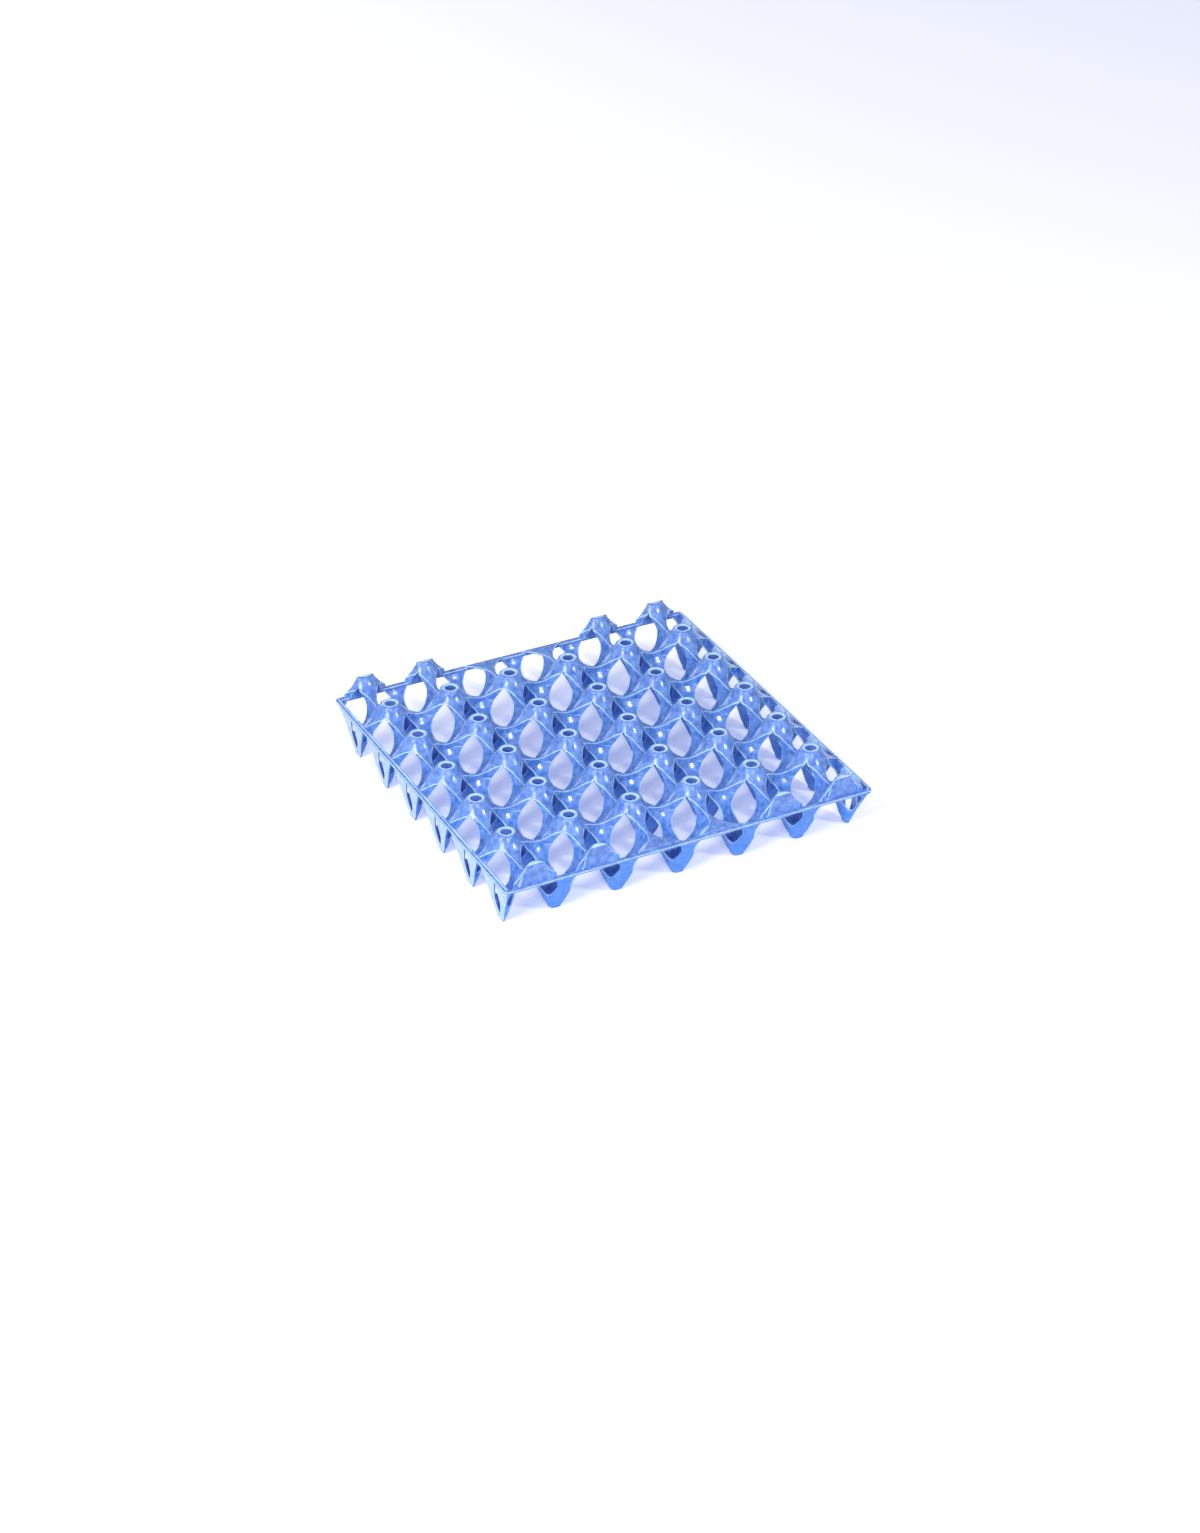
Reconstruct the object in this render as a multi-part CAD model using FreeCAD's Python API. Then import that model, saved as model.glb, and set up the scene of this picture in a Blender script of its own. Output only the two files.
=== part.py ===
"""Egg tray: one injection moulding with open cups between hollow posts.

The tray stands on the feet of its cups, with its middle on the Z axis and the floor at Z = 0.
Cups and posts share one square lattice: a post stands where four cups meet, and a ridge runs from
each post to the next. Every wall is a skin of the same thickness, open underneath.
"""
import FreeCAD
import Part
import math
import os

V = FreeCAD.Vector

# --- driving dimensions, millimetres -------------------------------------------------------------
PITCH = 50.0            # from one cup to the next, both ways
CUPS_ACROSS = 5         # whole cups in a row along X, with half cups at both ends
CUPS_DEEP = 6           # whole cups in a row along Y
WALL = 1.4              # thickness of the skin

RIM_HEIGHT = 39.0       # floor to the top of the flange
SADDLE_RISE = 1.5       # lowest point of a ridge above the flange
POST_RISE = 16.3        # top of a post above the flange

POST_TOP_RADIUS = 6.6   # flat top of a post
POST_TOP_ROUND = 1.6    # rounded edge of that top
POST_HOLE_RADIUS = 4.3
SKIRT_SHOULDER_RUN = 3.8    # a post's skirt leaves its top at this slope, out
SKIRT_SHOULDER_DROP = 6.7   # and down,
SKIRT_SADDLE_RUN = 7.0      # and runs level for about this far to the saddle

RIDGE_WIDTH = 2.0       # top of a ridge at its saddle
POST_CLEARANCE = 12.6   # from a post's axis to the nearest corner of a cup's rim
SHOULDER_DEPTH = 4.0    # below the flange, where a petal turns in from the ridge
SHOULDER_DRAW = 2.0     # how far it has come in from the rim there
PETAL_BEND_DEPTH = 24.0     # a petal bends about this depth below the flange
PETAL_BEND_WIDTH = 16.0     # and about this far from the petal across the cup
CORNER_BEND_WIDTH = 21.0    # the same from corner to corner
FOOT_WIDTH = 5.0        # inside of a foot, from petal to petal
FOOT_CORNER_WIDTH = 6.0     # inside of a foot, from corner to corner

WINDOW_TOP_RISE = 9.5   # upper point of a window above the flange
WINDOW_DEPTH = 23.0     # lower point of a window below the flange
WINDOW_WIDTH = 19.0     # widest part of a window

FLANGE_THICKNESS = 2.5
FLANGE_FRONT_WIDTH = 3.0    # ledge in front of the edge posts
FLANGE_SIDE_WIDTH = 2.0     # ledge beside the half cups
FLANGE_CORNER_RADIUS = 4.0
FLANGE_LAP = 1.0            # how far the flange runs into the walls that carry it

TAB_FOOT_WIDTH = 32.0       # upright front of an edge post where it leaves the flange

SIDE_FOOT_INSET = 7.5       # foot of a half cup, in from the edge of the tray
SIDE_SLOT_WIDTH = 8.0       # pointed slot in the outer wall of a half cup
SIDE_SLOT_TOP_DEPTH = 5.0
SIDE_SLOT_BOTTOM_DEPTH = 33.0

PETAL_STEPS = 3             # flats down a petal
POST_SIDES = 12
SKIRT_STEPS = 4             # flats down a post's skirt
WINDOW_STEPS = 4            # flats up each side of a window

LOW_COLUMNS = (2, 3)        # columns whose front and back posts are lowered

# --- worked out from them ------------------------------------------------------------------------
SADDLE_HEIGHT = RIM_HEIGHT + SADDLE_RISE
POST_HEIGHT = RIM_HEIGHT + POST_RISE
HALF = PITCH / 2
CUP_RIM_REACH = HALF - RIDGE_WIDTH / 2
CUP_RIM_CORNER = PITCH / math.sqrt(2) - POST_CLEARANCE
TRAY_X = (CUPS_ACROSS + 1) * PITCH
TRAY_Y = CUPS_DEEP * PITCH
ABOVE = POST_HEIGHT + 10
BELOW = -10.0


def box(x0, y0, z0, x1, y1, z1):
    return Part.makeBox(x1 - x0, y1 - y0, z1 - z0, V(x0, y0, z0))


def polygon(points):
    return Part.Face(Part.makePolygon(points + points[:1]))


def stacked(rings):
    """A solid through rings of points, one above the other, whose sides all run parallel."""
    faces = [polygon(rings[0]), polygon(rings[-1])]
    count = len(rings[0])
    for low, high in zip(rings, rings[1:]):
        for side in range(count):
            after = (side + 1) % count
            faces.append(polygon([low[side], low[after], high[after], high[side]]))
    return Part.Solid(Part.Shell(faces))


def even_ring(radius, height, sides):
    """A regular ring round the Z axis. The radius reaches the middle of each side."""
    corner = radius / math.cos(math.pi / sides)
    turns = [2 * math.pi * (side + 0.5) / sides for side in range(sides)]
    return [V(corner * math.cos(turn), corner * math.sin(turn), height) for turn in turns]


def cup_ring(reach, corner_reach, height):
    """A square ring with its corners cut off. The reaches go to its sides and to its corners."""
    near = corner_reach * math.sqrt(2) - reach
    quarter = [(reach, near), (near, reach)]
    ring = []
    for turn in range(4):
        ring += [V(x, y, height) for x, y in quarter]
        quarter = [(-y, x) for x, y in quarter]
    return ring


def bend(points, share):
    """A point on the smooth bend that leaves the first point and reaches the last."""
    while len(points) > 1:
        points = [
            [a + (b - a) * share for a, b in zip(point, after)]
            for point, after in zip(points, points[1:])
        ]
    return points[0]


# --- posts ---------------------------------------------------------------------------------------
def hill(inset):
    """A post with its flared skirt, turned about its own axis, drawn in by inset."""
    shoulder = POST_TOP_RADIUS + POST_TOP_ROUND
    shoulder_height = POST_HEIGHT - POST_TOP_ROUND
    run = [
        (shoulder - inset, shoulder_height),
        (shoulder + SKIRT_SHOULDER_RUN - inset, shoulder_height - SKIRT_SHOULDER_DROP - inset),
        (HALF - SKIRT_SADDLE_RUN, SADDLE_HEIGHT - inset),
        (HALF, SADDLE_HEIGHT - inset),
    ]
    outline = [(HALF * 1.5, BELOW), (HALF * 1.5, SADDLE_HEIGHT - inset)]
    outline += [bend(run, 1 - step / SKIRT_STEPS) for step in range(SKIRT_STEPS + 1)]
    outline.append((POST_TOP_RADIUS - inset, POST_HEIGHT - inset))
    return stacked([even_ring(radius, height, POST_SIDES) for radius, height in outline])


# --- cups ----------------------------------------------------------------------------------------
def cup(offset, floor):
    """The space inside a cup, or with an offset of one wall, the cup with its wall.

    Four petals come down from the ridges and close into a square foot.
    """
    down = [
        (FOOT_WIDTH / 2, FOOT_CORNER_WIDTH / 2, floor),
        (PETAL_BEND_WIDTH / 2, CORNER_BEND_WIDTH / 2, RIM_HEIGHT - PETAL_BEND_DEPTH),
        (CUP_RIM_REACH - SHOULDER_DRAW, CUP_RIM_CORNER - SHOULDER_DRAW / 2, RIM_HEIGHT - SHOULDER_DEPTH),
    ]
    stations = [bend(down, step / PETAL_STEPS) for step in range(PETAL_STEPS + 1)]
    stations += [(CUP_RIM_REACH, CUP_RIM_CORNER, height) for height in (SADDLE_HEIGHT, ABOVE)]
    return stacked([cup_ring(reach + offset, corner + offset, height) for reach, corner, height in stations])


def lens(width, low, high, reach):
    """A pointed window's outline across X, run along Y from the Z axis by reach both ways."""
    half_height = (high - low) / 2
    sweep = (half_height ** 2 + width ** 2 / 4) / width
    steepest = math.asin(half_height / sweep)
    side = []
    for step in range(1, WINDOW_STEPS):
        turn = steepest * (2 * step / WINDOW_STEPS - 1)
        side.append((width / 2 - sweep * (1 - math.cos(turn)), (low + high) / 2 + sweep * math.sin(turn)))
    outline = [(0, low)] + side + [(0, high)] + [(-across, height) for across, height in side[::-1]]
    face = polygon([V(across, -reach, height) for across, height in outline])
    return face.extrude(V(0, 2 * reach, 0))


def window_pair():
    """The four windows of a post: two lens openings that cross it on its diagonals."""
    pair = []
    for turn in (45, -45):
        window = lens(WINDOW_WIDTH, RIM_HEIGHT - WINDOW_DEPTH, RIM_HEIGHT + WINDOW_TOP_RISE, HALF)
        window.rotate(V(0, 0, 0), V(0, 0, 1), turn)
        pair.append(window)
    return pair


# --- one post with the quarters of the cups round it ---------------------------------------------
def lean_angle():
    """Slope of a half cup's outer wall, in degrees from upright."""
    return math.degrees(math.atan2(SIDE_FOOT_INSET - FLANGE_SIDE_WIDTH, RIM_HEIGHT))


def leaned(shape):
    """Tilts a half cup's shape about the flange's inner edge, so that its foot comes inward."""
    hinge = V(-HALF + FLANGE_SIDE_WIDTH, 0, RIM_HEIGHT)
    shape.rotate(hinge, V(0, 1, 0), -lean_angle())
    return shape


def side_space(inward):
    """All that lies inside a half cup's leaning outer wall, drawn in by inward."""
    edge = -HALF + FLANGE_SIDE_WIDTH + inward
    space = box(edge, -2 * HALF, BELOW - HALF, 4 * HALF, 2 * HALF, ABOVE + HALF)
    return leaned(space)


def side_slot():
    """A pointed slot through the leaning wall of a half cup that stands on the Z axis."""
    slot = lens(SIDE_SLOT_WIDTH, RIM_HEIGHT - SIDE_SLOT_BOTTOM_DEPTH, RIM_HEIGHT - SIDE_SLOT_TOP_DEPTH, HALF / 2)
    slot.rotate(V(0, 0, 0), V(0, 0, 1), 90)
    return slot


def tab():
    """The upright front of an edge post, from its top down to the whole width of the flange."""
    right = [
        (POST_TOP_RADIUS, POST_HEIGHT),
        (TAB_FOOT_WIDTH / 2, RIM_HEIGHT),
        (HALF, RIM_HEIGHT),
        (HALF, RIM_HEIGHT - FLANGE_THICKNESS),
    ]
    outline = right + [(-across, height) for across, height in right[::-1]]
    face = polygon([V(across, FLANGE_FRONT_WIDTH, height) for across, height in outline])
    return face.extrude(V(0, WALL, 0))


def cell(on_side, on_front, low_post):
    """The skin of one post and of the quarter cups about it, in the post's own place."""
    front = FLANGE_FRONT_WIDTH if on_front else -HALF
    post_top = SADDLE_HEIGHT if low_post else POST_HEIGHT
    room = box(-HALF, front, 0, HALF, HALF, post_top)
    if on_front:
        room = room.fuse(box(-HALF, 0, 0, HALF, front, RIM_HEIGHT - FLANGE_THICKNESS))
    outer = hill(0).common(room)
    inner = hill(WALL).common(box(-PITCH, -PITCH, BELOW, PITCH, PITCH, post_top - WALL))
    corners = [(x, y) for x in (-HALF, HALF) for y in (-HALF, HALF)]
    if on_front:
        corners = [(x, y) for x, y in corners if y > 0]
    spaces = []
    walls = []
    slots = []
    for x, y in corners:
        half_cup = on_side and x < 0
        space = cup(0, WALL)
        wall = cup(WALL, 0)
        for shape in (space, wall):
            shape.translate(V(x, y, 0))
        if half_cup:
            space = leaned(space).common(side_space(WALL))
            wall = leaned(wall)
            slots.append(side_slot())
            slots[-1].translate(V(x, y, 0))
        spaces.append(space)
        walls.append(wall)
    solid = outer.cut(spaces)
    windows = window_pair()
    if on_side:
        windows = [window.common(side_space(WALL)) for window in windows]
    skin = solid.cut(inner.cut(walls)).cut(windows)
    if on_front:
        skin = skin.fuse(outer.common(tab()))
    if low_post:
        web = box(-HALF, front, post_top - WALL, HALF, HALF, post_top)
        skin = skin.fuse(solid.common(web))
    else:
        skin = skin.cut(Part.makeCylinder(POST_HOLE_RADIUS, POST_HEIGHT, V(0, 0, RIM_HEIGHT)))
    if on_side:
        skin = skin.common(side_space(0))
    return skin.cut(slots) if slots else skin


# --- the whole tray ------------------------------------------------------------------------------
def post_x(column):
    return (column + 0.5) * PITCH - TRAY_X / 2


def post_y(row):
    return TRAY_Y / 2 - row * PITCH


def lattice():
    """Every cell in its place. The right and back edges are mirror images of the left and front."""
    columns = CUPS_ACROSS + 1
    rows = CUPS_DEEP + 1
    made = {}
    cells = []
    for column in range(columns):
        for row in range(rows):
            on_side = column in (0, columns - 1)
            on_edge = row in (0, rows - 1)
            low = on_edge and column in LOW_COLUMNS
            kind = (on_side, on_edge, low)
            if kind not in made:
                made[kind] = cell(*kind)
            piece = made[kind].copy()
            if on_side and column > 0:
                piece = piece.mirror(V(0, 0, 0), V(1, 0, 0))
            if on_edge and row == 0:
                piece = piece.mirror(V(0, 0, 0), V(0, 1, 0))
            piece.translate(V(post_x(column), post_y(row), 0))
            cells.append(piece)
    return cells


def flange():
    """The flat band round the rim."""
    low = RIM_HEIGHT - FLANGE_THICKNESS
    x, y = TRAY_X / 2, TRAY_Y / 2
    band = box(-x, -y, low, x, y, RIM_HEIGHT)
    corners = [e for e in band.Edges if abs(e.Vertexes[0].X - e.Vertexes[-1].X) < 1e-6
               and abs(e.Vertexes[0].Y - e.Vertexes[-1].Y) < 1e-6]
    band = band.makeFillet(FLANGE_CORNER_RADIUS, corners)
    x -= FLANGE_SIDE_WIDTH + FLANGE_LAP
    y -= FLANGE_FRONT_WIDTH + FLANGE_LAP
    return band.cut(box(-x, -y, low - 1, x, y, RIM_HEIGHT + 1))


def tray():
    cells = lattice()
    whole = cells[0].multiFuse(cells[1:] + [flange()])
    return whole.removeSplitter().Solids[0]


os.makedirs("parts", exist_ok=True)
tray().exportStep("parts/tray.step")
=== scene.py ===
import math

import bpy
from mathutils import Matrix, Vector


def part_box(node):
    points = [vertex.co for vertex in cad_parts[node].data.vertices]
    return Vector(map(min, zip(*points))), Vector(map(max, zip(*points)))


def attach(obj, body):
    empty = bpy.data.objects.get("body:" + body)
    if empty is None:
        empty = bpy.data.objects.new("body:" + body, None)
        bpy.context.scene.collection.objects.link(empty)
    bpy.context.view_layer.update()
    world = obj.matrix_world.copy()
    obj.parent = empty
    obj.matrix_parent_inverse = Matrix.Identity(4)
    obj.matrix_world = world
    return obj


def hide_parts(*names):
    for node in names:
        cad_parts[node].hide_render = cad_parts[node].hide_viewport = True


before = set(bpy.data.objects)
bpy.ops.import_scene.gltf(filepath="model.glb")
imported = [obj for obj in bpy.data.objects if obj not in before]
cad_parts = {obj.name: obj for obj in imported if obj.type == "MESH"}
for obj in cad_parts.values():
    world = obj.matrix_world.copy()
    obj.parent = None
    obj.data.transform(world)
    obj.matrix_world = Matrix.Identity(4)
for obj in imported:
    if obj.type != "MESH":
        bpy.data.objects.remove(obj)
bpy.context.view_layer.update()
low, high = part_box("tray")

scene = bpy.context.scene
scene.view_settings.view_transform = "Standard"

# --- sizes of the moulding, in metres ----------------------------------------------------------
MM = 0.001
COLUMNS = 6
ROWS = 7
LOW_COLUMNS = (2, 3)
PITCH = (high.x - low.x) / COLUMNS
HALF = PITCH / 2
WALL = 1.4 * MM
POST_HEIGHT = high.z
RIM_HEIGHT = POST_HEIGHT - 16.3 * MM
SADDLE_HEIGHT = RIM_HEIGHT + 1.5 * MM
BELOW = -10 * MM
ABOVE = POST_HEIGHT + 10 * MM

POST_RADIUS = 8.2 * MM
POST_ROUND = 1.9 * MM
POST_HOLE_RADIUS = 4.3 * MM
POST_SIDES = 32
RING_SHARE = 0.03
SHOULDER_SPREAD = 3.8 * MM
SHOULDER_DROP = 8.3 * MM
SKIRT_PULL = 0.72
SKIRT_REACH = 1.6
SKIRT_STEPS = 8

WINDOW_WIDTH = 19 * MM
WINDOW_SWELL = 1.26
WINDOW_TOP = RIM_HEIGHT + 9.5 * MM
WINDOW_MIDDLE = RIM_HEIGHT - 7.5 * MM
WINDOW_BOTTOM = RIM_HEIGHT - 23 * MM
WINDOW_TAIL = 2 * MM
WINDOW_SIDE_ROUND = 9 * MM
WINDOW_FOOT_ROUND = 4 * MM
WINDOW_REACH = HALF * 1.3

FLANGE_THICKNESS = 1.8 * MM
FLANGE_FRONT_WIDTH = 3 * MM
FLANGE_SIDE_WIDTH = 2 * MM
FLANGE_LAP = 1 * MM
FLANGE_CORNER_RADIUS = 4 * MM
TAB_FOOT_REACH = 12.5 * MM
TAB_TOP_REACH = 8 * MM
TAB_ROUND = 3.5 * MM
SILL_HEIGHT = 2.5 * MM

SIDE_FOOT_INSET = 7.5 * MM
SLOT_MIDDLE = RIM_HEIGHT - 19 * MM
SLOT_HALF_WIDTH = 5.6 * MM
SLOT_HALF_HEIGHT = 14.5 * MM
SLOT_BELLY_DROP = 5 * MM
SLOT_ROUND = 6 * MM
SLOT_START = 5 * MM
SLOT_DEPTH = 0.6 * HALF

# --- how finely the skin is worked -------------------------------------------------------------
EDGE_ROUND = 0.4 * MM
SHORT_EDGE = 0.25 * MM
SEAM_GAP = 0.1 * MM
SLIVER = 0.02 * MM
SAME_PLACE = 0.01 * MM
ON_PLANE = MM / 1000
LOWEST_RIDGE = 3 * MM
FLAT = math.radians(3)
SHARP = math.radians(38)
SMOOTH = math.radians(50)

# --- moulded plastic ---------------------------------------------------------------------------
FLOW_SCALE = 240
SCUFF_SCALE = 260
PATCH_DETAIL = 6
TINT_FROM, TINT_TO = 0.28, 0.72
SCUFF_FROM, SCUFF_TO = 0.35, 0.65
RIPPLE_STRENGTH = 0.14
RIPPLE_HEIGHT = 0.2 * MM
PLASTIC_IOR = 1.49
CLOUDINESS = 0.5
CLOUD_DEPTH = 6 * MM
CLOUD_COLOURS = (0.15, 0.4, 1.0)


def noise(nodes, links, place, scale):
    """Soft random patches on the object's own coordinates."""
    patches = nodes.new("ShaderNodeTexNoise")
    patches.inputs["Scale"].default_value = scale
    patches.inputs["Detail"].default_value = PATCH_DETAIL
    links.new(place.outputs["Object"], patches.inputs["Vector"])
    return patches


def tinted(nodes, links, patches, dark, light):
    """Runs the patches between two colours."""
    tint = nodes.new("ShaderNodeValToRGB")
    tint.color_ramp.elements[0].position = TINT_FROM
    tint.color_ramp.elements[0].color = (*dark, 1)
    tint.color_ramp.elements[1].position = TINT_TO
    tint.color_ramp.elements[1].color = (*light, 1)
    links.new(patches.outputs["Fac"], tint.inputs["Fac"])
    return tint


def moulded_plastic(name, dark, light, gloss_from, gloss_to, shine):
    """Polypropylene that lets some light through, with flow marks, scuffs and an uneven gloss."""
    material = bpy.data.materials.new(name)
    material.use_nodes = True
    nodes, links = material.node_tree.nodes, material.node_tree.links
    shader = nodes["Principled BSDF"]
    place = nodes.new("ShaderNodeTexCoord")

    flow = noise(nodes, links, place, FLOW_SCALE)
    tint = tinted(nodes, links, flow, dark, light)
    links.new(tint.outputs["Color"], shader.inputs["Base Color"])

    scuffs = noise(nodes, links, place, SCUFF_SCALE)
    gloss = nodes.new("ShaderNodeMapRange")
    gloss.inputs["From Min"].default_value = SCUFF_FROM
    gloss.inputs["From Max"].default_value = SCUFF_TO
    gloss.inputs["To Min"].default_value = gloss_from
    gloss.inputs["To Max"].default_value = gloss_to
    links.new(scuffs.outputs["Fac"], gloss.inputs["Value"])
    links.new(gloss.outputs["Result"], shader.inputs["Roughness"])

    ripple = nodes.new("ShaderNodeBump")
    ripple.inputs["Strength"].default_value = RIPPLE_STRENGTH
    ripple.inputs["Distance"].default_value = RIPPLE_HEIGHT
    links.new(scuffs.outputs["Fac"], ripple.inputs["Height"])
    links.new(ripple.outputs["Normal"], shader.inputs["Normal"])

    shader.inputs["Specular IOR Level"].default_value = shine
    shader.inputs["IOR"].default_value = PLASTIC_IOR
    shader.inputs["Subsurface Weight"].default_value = CLOUDINESS
    shader.inputs["Subsurface Radius"].default_value = CLOUD_COLOURS
    shader.inputs["Subsurface Scale"].default_value = CLOUD_DEPTH
    return material


# Name, dark tint, light tint, roughness from and to, shine.
FINISHES = [moulded_plastic(*settings) for settings in (
    ("polished_outside", (0.05, 0.13, 0.44), (0.17, 0.31, 0.66), 0.14, 0.30, 0.5),
    ("cup_inside", (0.03, 0.14, 0.48), (0.17, 0.32, 0.74), 0.12, 0.24, 0.5),
    # The underside is paler and bluer than the outside: painted light in the shade under the
    # cups, standing in for light through the wall.
    ("cup_underside_painted_light", (0.09, 0.25, 0.76), (0.16, 0.37, 0.90), 0.4, 0.55, 0.03),
    # The posts' hollows are much paler than the outside: painted light in the shaded hollows.
    ("matt_hollow_painted_light", (0.22, 0.40, 0.88), (0.32, 0.50, 0.95), 0.45, 0.6, 0.05),
    # Pale edges: partly rubbed, whitened wear and partly a painted highlight along ridges, cut
    # faces and post rings.
    ("pale_edges_wear_and_highlight", (0.30, 0.47, 0.74), (0.46, 0.62, 0.86), 0.25, 0.4, 0.4),
    # The half cups' outer side walls are paler than the rest: painted light on the faces that
    # turn to the lamps.
    ("side_wall_painted_light", (0.24, 0.38, 0.74), (0.42, 0.56, 0.86), 0.25, 0.4, 0.4),
    # The slots' cut faces are near black navy: painted shade inside the slots.
    ("slot_painted_shade", (0.01, 0.04, 0.22), (0.02, 0.07, 0.32), 0.4, 0.55, 0.1),
)]
OUTSIDE, INSIDE, UNDERSIDE, HOLLOW, CUT, SIDE, SLOT = range(len(FINISHES))


def use_materials(piece, *materials):
    """Gives the piece these materials and no others."""
    piece.data.materials.clear()
    for material in materials:
        piece.data.materials.append(material)


def finish_with(piece, number):
    """Gives the whole form one finish, which its faces keep when it cuts another."""
    for face in piece.data.polygons:
        face.material_index = number
    return piece


# --- making and cutting ------------------------------------------------------------------------
def begin(name):
    """Names the piece just added, puts its place in its mesh and opens it for editing."""
    piece = bpy.context.object
    piece.name = name
    use_materials(piece, *FINISHES)
    bpy.ops.object.transform_apply(location=True, rotation=True, scale=True)
    bpy.ops.object.mode_set(mode="EDIT")
    bpy.ops.mesh.select_mode(type="VERT")
    return piece


def close(piece):
    """Points every face outwards and ends the editing."""
    bpy.ops.mesh.select_all(action="SELECT")
    bpy.ops.mesh.normals_make_consistent(inside=False)
    bpy.ops.object.mode_set(mode="OBJECT")
    return piece


def select_only(piece):
    """Makes this the one piece that the next operator works on."""
    bpy.ops.object.select_all(action="DESELECT")
    bpy.context.view_layer.objects.active = piece
    piece.select_set(True)


def pick_corners(piece, chosen):
    """Selects only the corners whose place is chosen, for the operator that comes next."""
    bpy.ops.mesh.select_all(action="DESELECT")
    bpy.ops.object.mode_set(mode="OBJECT")
    for corner in piece.data.vertices:
        corner.select = chosen(corner.co)
    bpy.ops.object.mode_set(mode="EDIT")
    bpy.ops.mesh.select_mode(type="VERT")


def copy(piece):
    """A second piece with a mesh of its own."""
    twin = piece.copy()
    twin.data = piece.data.copy()
    scene.collection.objects.link(twin)
    return twin


def place_in_mesh(piece):
    """Puts the piece's place, turn and scale in its mesh, with the faces still outwards."""
    select_only(piece)
    bpy.ops.object.transform_apply(location=True, rotation=True, scale=True)
    bpy.ops.object.mode_set(mode="EDIT")
    return close(piece)


def move(piece, x, y):
    """Moves the piece level, in its mesh."""
    piece.location = (x, y, 0)
    select_only(piece)
    bpy.ops.object.transform_apply(location=True)


def apply_all(piece):
    """Applies the piece's modifiers in order."""
    select_only(piece)
    for modifier in list(piece.modifiers):
        bpy.ops.object.modifier_apply(modifier=modifier.name)


def combine(piece, tools, operation):
    """Cuts, keeps or joins the piece with each tool in turn, and clears the tools away."""
    for tool in tools:
        modifier = piece.modifiers.new(operation.lower(), "BOOLEAN")
        modifier.operation = operation
        modifier.solver = "MANIFOLD"
        modifier.object = tool
    apply_all(piece)
    for tool in tools:
        bpy.data.objects.remove(tool)
    return piece


def block(name, x0, y0, z0, x1, y1, z1):
    """A plain box between two corners."""
    bpy.ops.object.select_all(action="DESELECT")
    middle = ((x0 + x1) / 2, (y0 + y1) / 2, (z0 + z1) / 2)
    bpy.ops.mesh.primitive_cube_add(size=1, location=middle, scale=(x1 - x0, y1 - y0, z1 - z0))
    return close(begin(name))


def diamond(name, middle, turn):
    """A flat square standing on its corner, one metre from middle to corner, to be resized."""
    bpy.ops.object.select_all(action="DESELECT")
    bpy.ops.mesh.primitive_circle_add(
        vertices=4, radius=1, fill_type="NGON", location=middle, rotation=turn)
    piece = begin(name)
    bpy.ops.mesh.select_all(action="SELECT")
    return piece


def turned(name, outline):
    """A closed round form, drawn up ring by ring from a disc."""
    bpy.ops.object.select_all(action="DESELECT")
    radius, height = outline[0]
    bpy.ops.mesh.primitive_circle_add(
        vertices=POST_SIDES, radius=radius, fill_type="NGON", location=(0, 0, height))
    piece = begin(name)
    bpy.ops.mesh.select_all(action="SELECT")
    for (radius, height), (next_radius, next_height) in zip(outline, outline[1:]):
        bpy.ops.mesh.extrude_region_move(
            TRANSFORM_OT_translate={"value": (0, 0, next_height - height)})
        spread = next_radius / radius
        bpy.ops.transform.resize(
            value=(spread, spread, 1), center_override=(0, 0, next_height))
    return close(piece)


def drawn(name, rings):
    """A closed cup form: squares with their corners taken off, bridged and rounded."""
    bpy.ops.object.select_all(action="DESELECT")
    for reach, corner_reach, height in rings:
        bpy.ops.mesh.primitive_plane_add(size=2 * reach, location=(0, 0, height))
        if bpy.context.mode == "OBJECT":
            piece = begin(name)
            bpy.ops.mesh.select_all(action="SELECT")
        near = corner_reach * math.sqrt(2) - reach
        bpy.ops.mesh.bevel(affect="VERTICES", offset=reach - near, segments=1)
    bpy.ops.mesh.select_all(action="SELECT")
    bpy.ops.mesh.delete(type="ONLY_FACE")
    bpy.ops.mesh.select_all(action="SELECT")
    bpy.ops.mesh.bridge_edge_loops()
    bpy.ops.mesh.select_all(action="DESELECT")
    bpy.ops.mesh.select_non_manifold()
    bpy.ops.mesh.fill_holes(sides=0)
    close(piece)
    rounding = piece.modifiers.new("rounding", "SUBSURF")
    rounding.levels = 2
    rounding.render_levels = 2
    apply_all(piece)
    return piece


# --- forms of one post and one cup -------------------------------------------------------------
def post_form(inset):
    """A post with its flared skirt, drawn in by inset."""
    top = POST_HEIGHT - inset
    neck = POST_RADIUS - inset
    neck_height = POST_HEIGHT - POST_ROUND
    shoulder = POST_RADIUS + SHOULDER_SPREAD - inset
    shoulder_height = POST_HEIGHT - SHOULDER_DROP - inset
    saddle = SADDLE_HEIGHT - inset
    outline = [(HALF * SKIRT_REACH, BELOW), (HALF * SKIRT_REACH, saddle)]
    for step in range(SKIRT_STEPS + 1):
        t = step / SKIRT_STEPS
        s = 1 - t
        radius = (s**3 * HALF + 3 * s**2 * t * SKIRT_PULL * HALF
                  + 3 * s * t**2 * shoulder + t**3 * neck)
        height = ((s**3 + 3 * s**2 * t) * saddle
                  + 3 * s * t**2 * shoulder_height + t**3 * neck_height)
        outline.append((radius, height))
    round_height = top - neck_height
    for turn in (math.radians(30), math.radians(60), math.radians(90)):
        radius = neck - POST_ROUND * (1 - math.cos(turn))
        outline.append((radius, neck_height + round_height * math.sin(turn)))
    return turned("post", outline)


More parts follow.
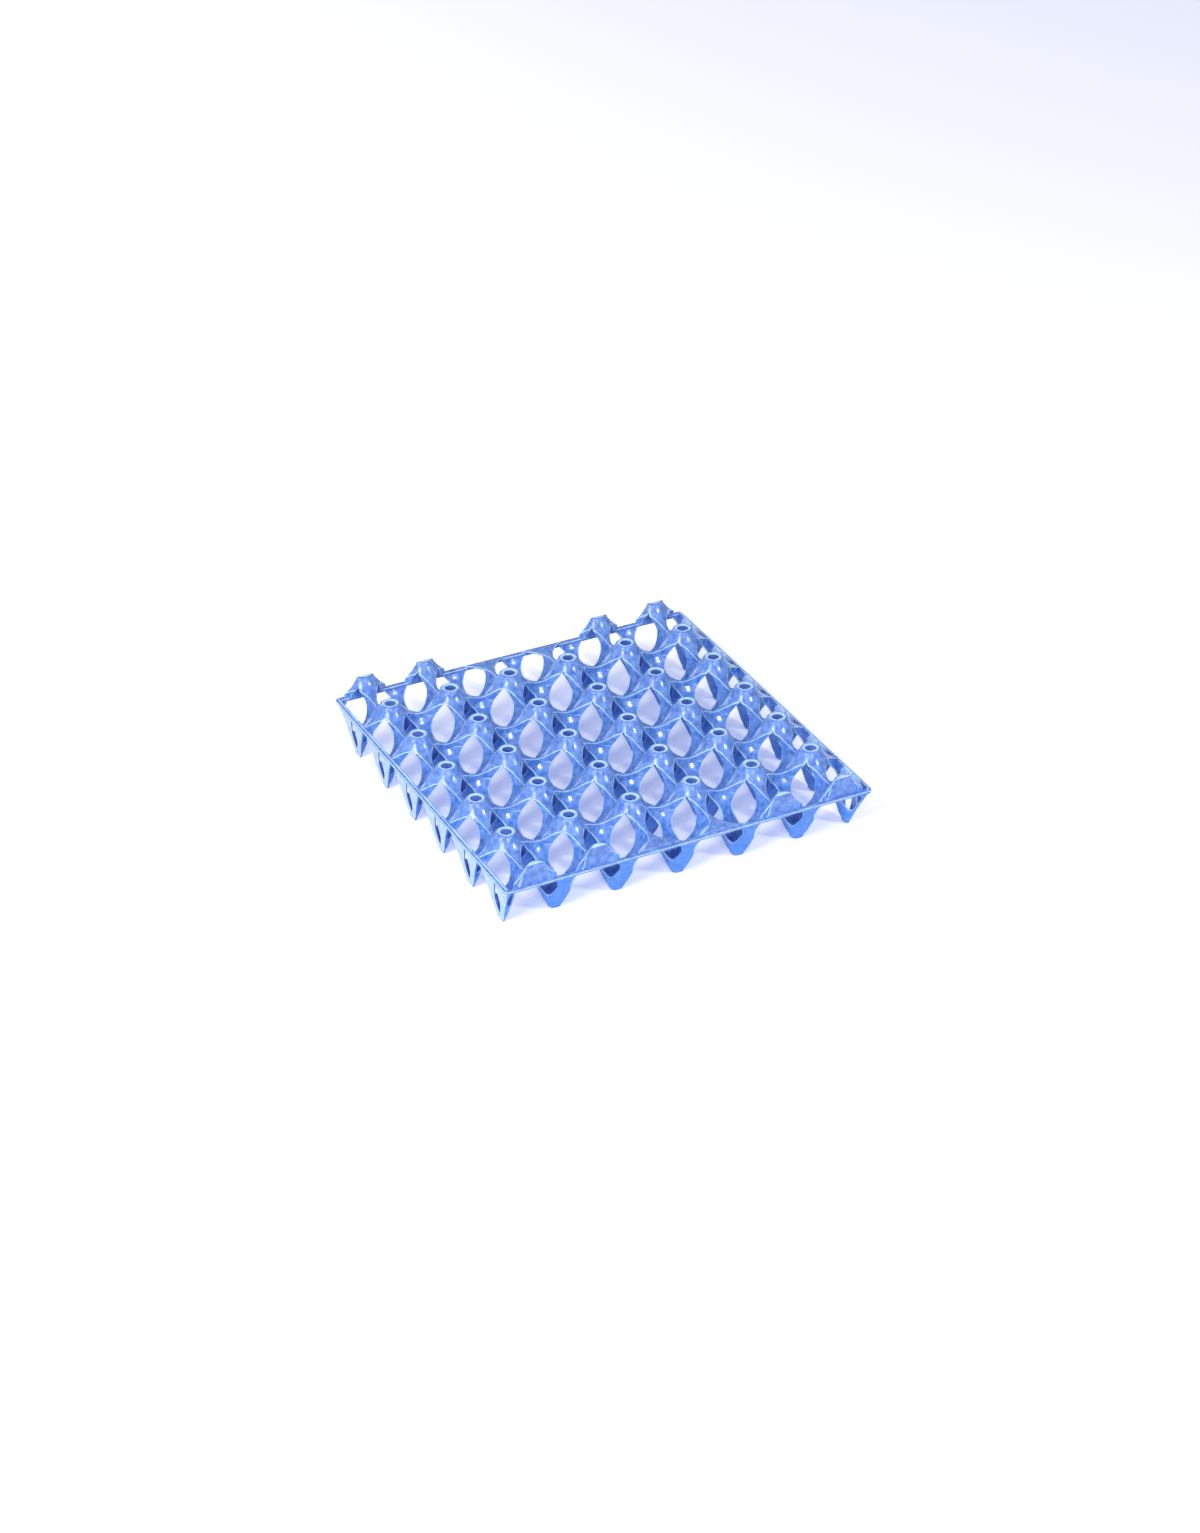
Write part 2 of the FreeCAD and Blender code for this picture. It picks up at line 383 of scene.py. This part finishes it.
def cup_form(offset, foot):
    """The space in a cup, or with an offset of one wall, the cup with its wall."""
    rings = [
        (2.4 * MM, 2.9 * MM, foot),
        (4.6 * MM, 5.4 * MM, foot),
        (6.3 * MM, 7.5 * MM, foot + 5.4 * MM),
        (8.9 * MM, 10.8 * MM, 13.7 * MM),
        (14.8 * MM, 16.6 * MM, 23.5 * MM),
        (20.7 * MM, 21.1 * MM, 34.3 * MM),
        (24.0 * MM, 23.1 * MM, SADDLE_HEIGHT - 3.8 * MM),
        (24.6 * MM, 23.6 * MM, SADDLE_HEIGHT + 0.3 * MM),
        (24.6 * MM, 23.6 * MM, ABOVE),
    ]
    return drawn("cup", [
        (reach + offset, corner + offset, height) for reach, corner, height in rings])


def window_form():
    """A kite with rounded sides that runs out from the post's axis along the diagonal."""
    window = diamond("window", (0, 0, WINDOW_MIDDLE), (math.pi / 2, 0, 0))
    bpy.ops.transform.resize(
        value=(WINDOW_WIDTH / 2 * WINDOW_SWELL, 1, WINDOW_TOP - WINDOW_MIDDLE),
        center_override=(0, 0, WINDOW_MIDDLE))
    pick_corners(window, lambda place: place.z < WINDOW_MIDDLE - MM)
    drop = WINDOW_BOTTOM - WINDOW_TAIL - (2 * WINDOW_MIDDLE - WINDOW_TOP)
    bpy.ops.transform.translate(value=(0, 0, drop))
    pick_corners(window, lambda place: abs(place.z - WINDOW_MIDDLE) < MM)
    bpy.ops.mesh.bevel(affect="VERTICES", offset=WINDOW_SIDE_ROUND, segments=5)
    pick_corners(window, lambda place: place.z < WINDOW_BOTTOM)
    bpy.ops.mesh.bevel(affect="VERTICES", offset=WINDOW_FOOT_ROUND, segments=3)
    bpy.ops.mesh.select_all(action="SELECT")
    bpy.ops.mesh.extrude_region_move(TRANSFORM_OT_translate={"value": (0, WINDOW_REACH, 0)})
    bpy.ops.mesh.select_all(action="SELECT")
    bpy.ops.transform.rotate(
        value=math.radians(45), orient_axis="Z", center_override=(0, 0, 0))
    return close(window)


# --- half cups at the sides --------------------------------------------------------------------
def leaned(piece):
    """Tilts a half cup's form about the flange's inner edge, so that its foot comes inward."""
    slope = math.atan2(SIDE_FOOT_INSET - FLANGE_SIDE_WIDTH, RIM_HEIGHT)
    select_only(piece)
    bpy.ops.object.mode_set(mode="EDIT")
    bpy.ops.mesh.select_all(action="SELECT")
    hinge = (-HALF + FLANGE_SIDE_WIDTH, 0, RIM_HEIGHT)
    bpy.ops.transform.rotate(value=slope, orient_axis="Y", center_override=hinge)
    bpy.ops.object.mode_set(mode="OBJECT")
    return piece


def side_space(inward):
    """All that lies inside a half cup's leaning outer wall, drawn in by inward."""
    edge = -HALF + FLANGE_SIDE_WIDTH + inward
    return leaned(block(
        "side_space", edge, -2 * HALF, BELOW - HALF, 4 * HALF, 2 * HALF, ABOVE + HALF))


def side_slot():
    """A pointed slot through the leaning wall of a half cup."""
    slot = diamond("slot", (-HALF - SLOT_START, HALF, SLOT_MIDDLE), (0, math.pi / 2, 0))
    bpy.ops.transform.resize(
        value=(1, SLOT_HALF_WIDTH, SLOT_HALF_HEIGHT),
        center_override=(-HALF, HALF, SLOT_MIDDLE))
    pick_corners(slot, lambda place: abs(place.z - SLOT_MIDDLE) < MM)
    bpy.ops.transform.translate(value=(0, 0, -SLOT_BELLY_DROP))
    bpy.ops.mesh.bevel(affect="VERTICES", offset=SLOT_ROUND, segments=4)
    bpy.ops.mesh.select_all(action="SELECT")
    bpy.ops.mesh.extrude_region_move(TRANSFORM_OT_translate={"value": (SLOT_DEPTH, 0, 0)})
    return close(slot)


# --- edges of the tray -------------------------------------------------------------------------
def tab_form():
    """The upright front of an edge post, with the sill it stands on."""
    tab = block(
        "tab", 0, FLANGE_FRONT_WIDTH, RIM_HEIGHT,
        TAB_FOOT_REACH, FLANGE_FRONT_WIDTH + WALL, POST_HEIGHT)
    bpy.ops.object.mode_set(mode="EDIT")
    pick_corners(tab, lambda place: place.x > MM and place.z > RIM_HEIGHT + MM)
    bpy.ops.transform.translate(value=(TAB_TOP_REACH - TAB_FOOT_REACH, 0, 0))
    bpy.ops.mesh.bevel(affect="EDGES", offset=TAB_ROUND, segments=3)
    close(tab)
    sill = block(
        "sill", 0, FLANGE_FRONT_WIDTH, RIM_HEIGHT - SILL_HEIGHT,
        HALF, FLANGE_FRONT_WIDTH + WALL, RIM_HEIGHT)
    return combine(tab, [sill], "UNION")


def flange_form(x0, x1, on_side, on_front):
    """The flat band round the rim, as far as one tile goes."""
    low_side = RIM_HEIGHT - FLANGE_THICKNESS
    band = block("flange", x0, 0, low_side, x1, HALF, RIM_HEIGHT)
    if on_side and on_front:
        bpy.ops.object.mode_set(mode="EDIT")
        pick_corners(band, lambda place: place.x < x0 + MM and place.y < MM)
        bpy.ops.mesh.bevel(affect="EDGES", offset=FLANGE_CORNER_RADIUS, segments=6)
        close(band)
    inner_x = x0 + FLANGE_SIDE_WIDTH + FLANGE_LAP if on_side else x0 - PITCH
    inner_y = FLANGE_FRONT_WIDTH + FLANGE_LAP if on_front else -PITCH
    inner = block(
        "inner", inner_x, inner_y, low_side - PITCH, x1 + PITCH, PITCH, RIM_HEIGHT + PITCH)
    return combine(band, [inner], "DIFFERENCE")


# --- one tile: a quarter of a post and the quarter cup beside it -------------------------------
def tile(on_side, on_front, low_post):
    """The tile behind a post, to its right, or to its left where that is the tray's side.

    The solid post is kept inside the tile's room, then hollowed from above by the cup's space
    and from below by the post's own hollow, which stops at the cup's wall.
    """
    x0, x1 = (-HALF, 0) if on_side else (0, HALF)
    front = FLANGE_FRONT_WIDTH if on_front else 0
    top = SADDLE_HEIGHT if low_post else POST_HEIGHT + MM
    room = block("room", x0, front, 0, x1, HALF, top)
    if on_front:
        under = block("under", x0, 0, 0, x1, front, RIM_HEIGHT - FLANGE_THICKNESS)
        combine(room, [under], "UNION")
    space = finish_with(cup_form(0, WALL), INSIDE)
    # The cup's outer face takes the underside finish, which holds painted light in the shade
    # under the cups.
    wall = finish_with(cup_form(WALL, 0), UNDERSIDE)
    for cup in (space, wall):
        move(cup, -HALF if on_side else HALF, HALF)
    window = window_form()
    if on_side:
        for cup in (space, wall):
            leaned(cup)
        window.scale = (-1, 1, 1)
        place_in_mesh(window)
        combine(space, [side_space(WALL)], "INTERSECT")
        combine(window, [side_space(WALL)], "INTERSECT")
    # The window's cut faces take the pale edge finish: partly wear, partly a painted highlight.
    finish_with(window, CUT)

    # The flat ring on top of a post takes the pale edge finish too: a painted highlight round the
    # hole.
    post = post_form(0)
    for face in post.data.polygons:
        if face.center.z > POST_HEIGHT - POST_ROUND * RING_SHARE:
            face.material_index = CUT
    skin = combine(post, [room], "INTERSECT")
    extras = []
    if on_front:
        tab = tab_form()
        if on_side:
            tab.scale = (-1, 1, 1)
            place_in_mesh(tab)
        extras.append(combine(tab, [copy(skin)], "INTERSECT"))
    combine(skin, [space], "DIFFERENCE")
    if low_post:
        web = block("web", x0, front, top - WALL, x1, HALF, top)
        extras.append(combine(web, [copy(skin)], "INTERSECT"))
    under_top = block("under_top", -PITCH, -PITCH, BELOW - MM, PITCH, PITCH, top - WALL)
    # The hollow under the post takes the pale hollow finish: painted light in its shade.
    hollow = finish_with(combine(post_form(WALL), [under_top], "INTERSECT"), HOLLOW)
    combine(hollow, [wall], "DIFFERENCE")
    combine(skin, [hollow, window], "DIFFERENCE")
    if extras:
        combine(skin, extras, "UNION")
    if not on_front:
        hole = turned("hole", [(POST_HOLE_RADIUS, RIM_HEIGHT), (POST_HOLE_RADIUS, ABOVE)])
        combine(skin, [hole], "DIFFERENCE")
    if on_side:
        # The outer side wall takes the paler side finish: painted light on the side facing the
        # lamps.
        combine(skin, [finish_with(side_space(0), SIDE)], "INTERSECT")
        # The slot's cut faces take the dark slot finish: painted shade.
        combine(skin, [finish_with(side_slot(), SLOT)], "DIFFERENCE")
    if on_side or on_front:
        combine(skin, [flange_form(x0, x1, on_side, on_front)], "UNION")

    borders = [(0, 0), (1, HALF)]
    if not on_side:
        borders.append((0, HALF))
    if not on_front:
        borders.append((1, 0))
    open_sides(skin, borders)
    clean(skin, borders)
    round_ridges(skin)
    return skin


def on_border(place, border):
    """Whether a place is on a border, given as the axis it crosses and where."""
    axis, where = border
    return abs(place[axis] - where) < ON_PLANE


def open_sides(piece, borders):
    """Takes away the faces where the next tiles go on."""
    select_only(piece)
    bpy.ops.object.mode_set(mode="EDIT")
    bpy.ops.mesh.select_mode(type="FACE")
    bpy.ops.mesh.select_all(action="DESELECT")
    bpy.ops.object.mode_set(mode="OBJECT")
    corners = piece.data.vertices
    for face in piece.data.polygons:
        places = [corners[corner].co for corner in face.vertices]
        face.select = any(
            all(on_border(place, border) for place in places) for border in borders)
    bpy.ops.object.mode_set(mode="EDIT")
    bpy.ops.mesh.delete(type="FACE")
    bpy.ops.mesh.select_mode(type="VERT")


def clean(piece, borders):
    """Merges corners that lie too close and joins flat neighbours, but leaves the borders."""
    bpy.ops.mesh.select_all(action="SELECT")
    bpy.ops.mesh.remove_doubles(threshold=SAME_PLACE)
    pick_corners(piece, lambda place: not any(on_border(place, border) for border in borders))
    bpy.ops.mesh.remove_doubles(threshold=SHORT_EDGE)
    bpy.ops.mesh.select_all(action="SELECT")
    bpy.ops.mesh.dissolve_degenerate(threshold=SLIVER)
    bpy.ops.mesh.dissolve_limited(angle_limit=FLAT, delimit={"NORMAL", "MATERIAL"})
    bpy.ops.mesh.vert_connect_concave()
    bpy.ops.mesh.select_mode(type="EDGE")
    bpy.ops.mesh.select_all(action="DESELECT")
    bpy.ops.object.mode_set(mode="OBJECT")


def pick_ridges(piece):
    """Selects the sharp edges that stand outward, above the foot."""
    sides = {}
    for face in piece.data.polygons:
        for key in face.edge_keys:
            sides.setdefault(key, []).append(face)
    corners = piece.data.vertices
    for edge in piece.data.edges:
        faces = sides.get(edge.key, [])
        top = max(corners[corner].co.z for corner in edge.vertices)
        if len(faces) != 2 or top < LOWEST_RIDGE:
            continue
        one, other = faces
        sound = one.normal.length > 0.5 and other.normal.length > 0.5
        sharp = sound and one.normal.angle(other.normal) > SHARP
        edge.select = sharp and (other.center - one.center).dot(one.normal) < 0


def round_ridges(piece):
    """Takes off the ridges; a corner that this throws off the surface is laid back on it."""
    before = copy(piece)
    bpy.context.view_layer.update()
    pick_ridges(piece)
    bpy.ops.object.mode_set(mode="EDIT")
    # The bevel faces take the pale edge finish: partly wear, partly a painted highlight along the
    # ridges.
    bpy.ops.mesh.bevel(
        affect="EDGES", offset=EDGE_ROUND, segments=1, clamp_overlap=False, material=CUT)
    bpy.ops.mesh.select_mode(type="VERT")
    bpy.ops.object.mode_set(mode="OBJECT")
    for corner in piece.data.vertices:
        place = before.closest_point_on_mesh(corner.co)[1]
        if (corner.co - place).length > EDGE_ROUND:
            corner.co = place
    bpy.data.objects.remove(before)


# --- the whole tray ----------------------------------------------------------------------------
def post_kind(column, row):
    """Whether a post stands at a side, stands in the front or back rim, and is cut low."""
    on_front = row in (0, ROWS - 1)
    return column in (0, COLUMNS - 1), on_front, on_front and column in LOW_COLUMNS


def place_tiles():
    """A copy of the right tile in each quarter round every post that lies inside the tray."""
    tiles = {}
    placed = []
    for column in range(COLUMNS):
        for row in range(ROWS):
            at_side, on_front, low_post = post_kind(column, row)
            x = (column - (COLUMNS - 1) / 2) * PITCH
            y = (row - (ROWS - 1) / 2) * PITCH
            for across in (-1, 1):
                on_side = at_side and (across < 0) == (column == 0)
                for deep in (-1, 1):
                    if on_front and (deep < 0) == (row == 0):
                        continue
                    kind = (on_side, on_front, low_post)
                    if kind not in tiles:
                        tiles[kind] = tile(*kind)
                    piece = copy(tiles[kind])
                    piece.scale = (-across if on_side else across, deep, 1)
                    piece.location = (x, y, 0)
                    place_in_mesh(piece)
                    placed.append(piece)
    for spare in tiles.values():
        bpy.data.objects.remove(spare)
    return placed


def lattice():
    """The tiles joined into one skin, with the seams between them merged."""
    placed = place_tiles()
    bpy.ops.object.select_all(action="DESELECT")
    for piece in placed:
        piece.select_set(True)
    bpy.context.view_layer.objects.active = placed[0]
    bpy.ops.object.join()
    skin = bpy.context.object
    skin.name = "tray_skin"
    bpy.ops.object.mode_set(mode="EDIT")
    bpy.ops.mesh.select_all(action="SELECT")
    bpy.ops.mesh.remove_doubles(threshold=SAME_PLACE)
    bpy.ops.mesh.select_all(action="DESELECT")
    bpy.ops.mesh.select_non_manifold(
        use_wire=False, use_multi_face=False, use_non_contiguous=False, use_verts=False)
    bpy.ops.mesh.remove_doubles(threshold=SEAM_GAP)
    bpy.ops.mesh.select_all(action="SELECT")
    bpy.ops.mesh.delete_loose(use_verts=True, use_edges=True, use_faces=True)
    close(skin)
    bpy.ops.object.shade_smooth_by_angle(angle=SMOOTH)
    even = skin.modifiers.new("even", "WEIGHTED_NORMAL")
    even.keep_sharp = True
    apply_all(skin)
    return skin


tray = lattice()
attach(tray, "root")
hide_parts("tray")

# --- floor, light and camera -------------------------------------------------------------------
FLOOR_SIZE = 8
FLOOR_GAP = 0.2 * MM
# The blue glow shows where the tray's shadow falls: painted blue light for light through the
# plastic; the yellower seen colour brings the lit floor back to white.
FLOOR_GLOW = (0.16, 0.21, 0.48, 1)
FLOOR_BOUNCE = (0.5, 0.52, 0.66, 1)
FLOOR_SEEN = (0.93, 0.89, 0.72, 1)
SKY = (1, 1, 1, 1)
SKY_STRENGTH = 0.5
LENS = 111.23
SENSOR_WIDTH = 36
SIGHT = Vector((-0.38703, -0.75565, 0.52840))
AIM = Vector((-0.013749, -0.029516, RIM_HEIGHT))
CAMERA_DISTANCE = 2.74667


def either(nodes, links, one, other):
    """The larger of two values."""
    larger = nodes.new("ShaderNodeMath")
    larger.operation = "MAXIMUM"
    links.new(one, larger.inputs[0])
    links.new(other, larger.inputs[1])
    return larger.outputs[0]


def floor_material():
    """A floor that is white where it is looked at and lit, with painted blue light in the tray's
    shadow, and bounces a bluer light on the tray.
    """
    material = bpy.data.materials.new("studio_floor")
    material.use_nodes = True
    nodes, links = material.node_tree.nodes, material.node_tree.links
    nodes.clear()
    path = nodes.new("ShaderNodeLightPath").outputs
    seen = either(nodes, links, path["Is Camera Ray"], path["Is Glossy Ray"])
    seen = either(nodes, links, seen, path["Is Transmission Ray"])

    glow = nodes.new("ShaderNodeEmission")
    glow.inputs["Color"].default_value = FLOOR_GLOW
    links.new(seen, glow.inputs["Strength"])

    paint = nodes.new("ShaderNodeMix")
    paint.data_type = "RGBA"
    paint.inputs["A"].default_value = FLOOR_BOUNCE
    paint.inputs["B"].default_value = FLOOR_SEEN
    links.new(seen, paint.inputs["Factor"])
    matt = nodes.new("ShaderNodeBsdfDiffuse")
    links.new(paint.outputs["Result"], matt.inputs["Color"])

    both = nodes.new("ShaderNodeAddShader")
    links.new(matt.outputs[0], both.inputs[0])
    links.new(glow.outputs[0], both.inputs[1])
    out = nodes.new("ShaderNodeOutputMaterial")
    links.new(both.outputs[0], out.inputs["Surface"])
    return material


bpy.ops.mesh.primitive_plane_add(size=FLOOR_SIZE, location=(0, 0, low.z - FLOOR_GAP))
floor = bpy.context.object
floor.name = "floor"
use_materials(floor, floor_material())

world = bpy.data.worlds.new("studio")
world.use_nodes = True
sky = world.node_tree.nodes["Background"]
sky.inputs["Color"].default_value = SKY
sky.inputs["Strength"].default_value = SKY_STRENGTH
scene.world = world


def lamp(name, place, width, height, watts):
    """A soft oval lamp that points at the middle of the tray."""
    data = bpy.data.lights.new(name, "AREA")
    data.shape = "ELLIPSE"
    data.size = width
    data.size_y = height
    data.energy = watts
    item = bpy.data.objects.new(name, data)
    item.location = place
    item.rotation_euler = (-Vector(place)).to_track_quat("-Z", "Y").to_euler()
    scene.collection.objects.link(item)


lamp("key", (-1.5, -0.9, 1.5), 0.8, 0.8, 28)
lamp("side", (-1.8, -0.5, 0.5), 0.7, 0.7, 16)
lamp("front", (-0.4, -1.9, 0.8), 0.8, 0.8, 14)
lamp("back", (-0.5, 2.0, 0.9), 1.0, 1.0, 10)
lamp("spark", (0.7, -1.24, 1.1), 0.22, 0.1, 10)

camera_data = bpy.data.cameras.new("camera")
camera_data.sensor_fit = "HORIZONTAL"
camera_data.sensor_width = SENSOR_WIDTH
camera_data.lens = LENS
camera = bpy.data.objects.new("camera", camera_data)
camera.location = AIM + SIGHT * CAMERA_DISTANCE
camera.rotation_euler = (-SIGHT).to_track_quat("-Z", "Y").to_euler()
scene.collection.objects.link(camera)
scene.camera = camera
